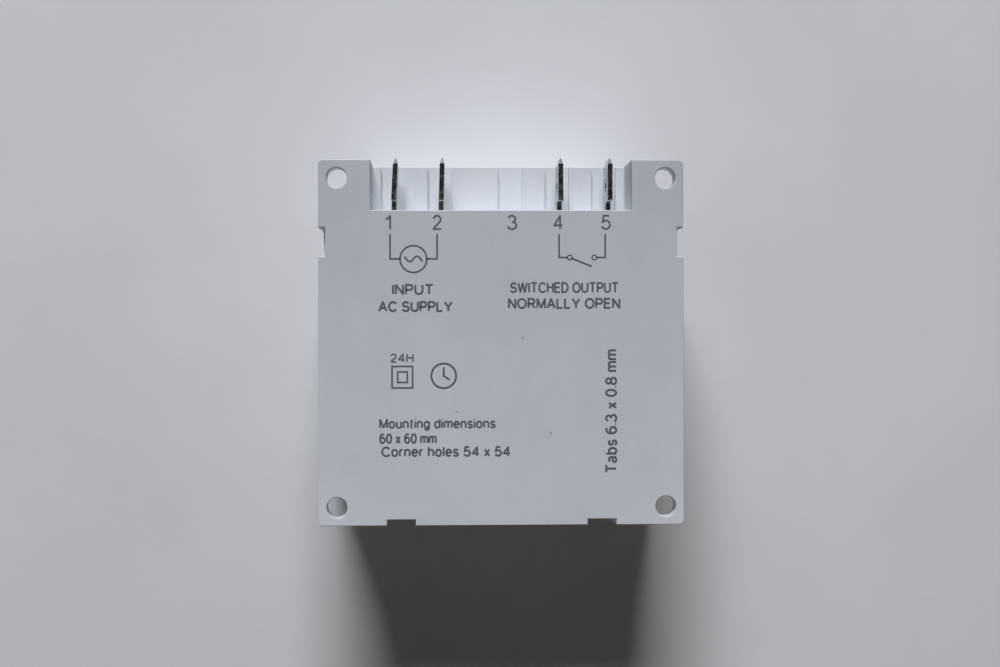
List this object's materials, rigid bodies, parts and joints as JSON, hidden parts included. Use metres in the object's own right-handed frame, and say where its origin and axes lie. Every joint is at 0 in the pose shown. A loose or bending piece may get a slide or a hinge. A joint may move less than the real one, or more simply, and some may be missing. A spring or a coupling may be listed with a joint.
{
  "type": "weekly timer module",
  "caption": "Square weekly time switch module in a pale moulded case, with corner mounting ears and push-on tabs in a recess behind its top edge.",
  "frame": {"origin": "middle of the display face, on the plane the module lies on", "axes": "+Z from the display face to the back cover, +Y from the keys towards the terminals, +X to the right seen from the back"},
  "size_m": [0.06, 0.0606, 0.032],
  "materials": {
    "housing_plastic": "fine spark-eroded",
    "label_film": "fine matt film",
    "clear_window": "clear",
    "polariser_film": "grey film",
    "cell_glass": "clear",
    "reflector_film": "satin",
    "dark_moulding": "fine",
    "contact_rubber": "matt",
    "circuit_board": "solder resist",
    "indicator_lens": "tinted clear",
    "black_resin": "matt",
    "steel": "nickel plated",
    "relay_iron": "zinc plated",
    "tinned_brass": "tin plated",
    "contact_brass": "rolled",
    "copper_winding": "enamelled wire",
    "pale_moulding": "fine",
    "relay_blue": "satin",
    "capacitor_yellow": "satin",
    "capacitor_sleeve": "shrink sleeve",
    "varistor_coat": "lacquer",
    "resistor_coat": "cement",
    "key_rubber_grey": "fine",
    "key_green": "fine",
    "key_red": "fine",
    "plunger_white": "fine"
  },
  "bodies": {
    "housing": {"back_cover": "housing_plastic", "backup_battery": "steel", "battery_tabs": "steel", "bias_resistors": "resistor_coat", "contact_strip": "contact_rubber", "controller_chip": "black_resin", "display_board": "circuit_board", "display_board_screws": "steel", "display_window": "clear_window", "drive_transistor": "black_resin", "film_capacitor": "capacitor_yellow", "filter_capacitor": "capacitor_sleeve", "front_case": "housing_plastic", "front_label": "label_film", "fuse_resistor": "resistor_coat", "lcd_front_glass": "cell_glass", "lcd_front_polariser": "polariser_film", "lcd_holder": "dark_moulding", "lcd_rear_glass": "cell_glass", "lcd_reflector": "reflector_film", "link_housing": "dark_moulding", "link_pins": "tinned_brass", "power_board": "circuit_board", "power_board_screws": "steel", "rectifier_diodes": "black_resin", "relay_base": "dark_moulding", "relay_bobbin": "pale_moulding", "relay_coil_pins": "tinned_brass", "relay_common_pin": "contact_brass", "relay_core": "relay_iron", "relay_cover": "relay_blue", "relay_fixed_contact": "contact_brass", "relay_winding": "copper_winding", "relay_yoke": "relay_iron", "status_led": "indicator_lens", "switch_bodies": "dark_moulding", "terminal_1": "tinned_brass", "terminal_2": "tinned_brass", "terminal_4": "tinned_brass", "terminal_5": "tinned_brass", "varistor": "varistor_coat", "watch_crystal": "steel"},
    "relay_armature": {"relay_armature": "relay_iron"},
    "relay_card": {"relay_card": "pale_moulding"},
    "relay_contact_leaf": {"relay_contact_leaf": "contact_brass"},
    "key_clock": {"key_clock": "key_rubber_grey", "plunger_clock": "plunger_white"},
    "key_day": {"key_day": "key_rubber_grey", "plunger_day": "plunger_white"},
    "key_hour": {"key_hour": "key_rubber_grey", "plunger_hour": "plunger_white"},
    "key_minute": {"key_minute": "key_rubber_grey", "plunger_minute": "plunger_white"},
    "key_program": {"key_program": "key_rubber_grey", "plunger_program": "plunger_white"},
    "key_reset": {"key_reset": "key_red", "plunger_reset": "plunger_white"},
    "key_manual": {"key_manual": "key_green", "plunger_manual": "plunger_white"}
  },
  "joints": [
    {"name": "key_clock_press", "type": "slide", "parent": "housing", "child": "key_clock", "axis": [0, 0, 1], "range_m": [0, 0.0004], "stiffness_N_per_m": 1500, "springref_m": -0.0004},
    {"name": "key_day_press", "type": "slide", "parent": "housing", "child": "key_day", "axis": [0, 0, 1], "range_m": [0, 0.0004], "stiffness_N_per_m": 1500, "springref_m": -0.0004},
    {"name": "key_hour_press", "type": "slide", "parent": "housing", "child": "key_hour", "axis": [0, 0, 1], "range_m": [0, 0.0004], "stiffness_N_per_m": 1500, "springref_m": -0.0004},
    {"name": "key_minute_press", "type": "slide", "parent": "housing", "child": "key_minute", "axis": [0, 0, 1], "range_m": [0, 0.0004], "stiffness_N_per_m": 1500, "springref_m": -0.0004},
    {"name": "key_program_press", "type": "slide", "parent": "housing", "child": "key_program", "axis": [0, 0, 1], "range_m": [0, 0.0004], "stiffness_N_per_m": 1500, "springref_m": -0.0004},
    {"name": "key_reset_press", "type": "slide", "parent": "housing", "child": "key_reset", "axis": [0, 0, 1], "range_m": [0, 0.0004], "stiffness_N_per_m": 1500, "springref_m": -0.0004},
    {"name": "key_manual_press", "type": "slide", "parent": "housing", "child": "key_manual", "axis": [0, 0, 1], "range_m": [0, 0.0004], "stiffness_N_per_m": 1500, "springref_m": -0.0004},
    {"name": "armature_pull", "type": "hinge", "parent": "housing", "child": "relay_armature", "pos_m": [-0.0079, 0.0095, 0.0241], "axis": [0, -1, 0], "range_deg": [0, 4.5], "stiffness_Nm_per_rad": 0.0005, "springref_deg": -5.73},
    {"name": "card_slide", "type": "slide", "parent": "housing", "child": "relay_card", "axis": [1, 0, 0], "range_m": [0, 0.0009]},
    {"name": "contact_leaf_bend", "type": "hinge", "parent": "housing", "child": "relay_contact_leaf", "pos_m": [0.0123, 0.0095, 0.0246], "axis": [0, -1, 0], "range_deg": [0, 4.5]}
  ],
  "couplings": [
    {"joint": "card_slide", "follows": "armature_pull", "m_per_rad": 0.0114},
    {"joint": "contact_leaf_bend", "follows": "armature_pull", "ratio": 1}
  ]
}
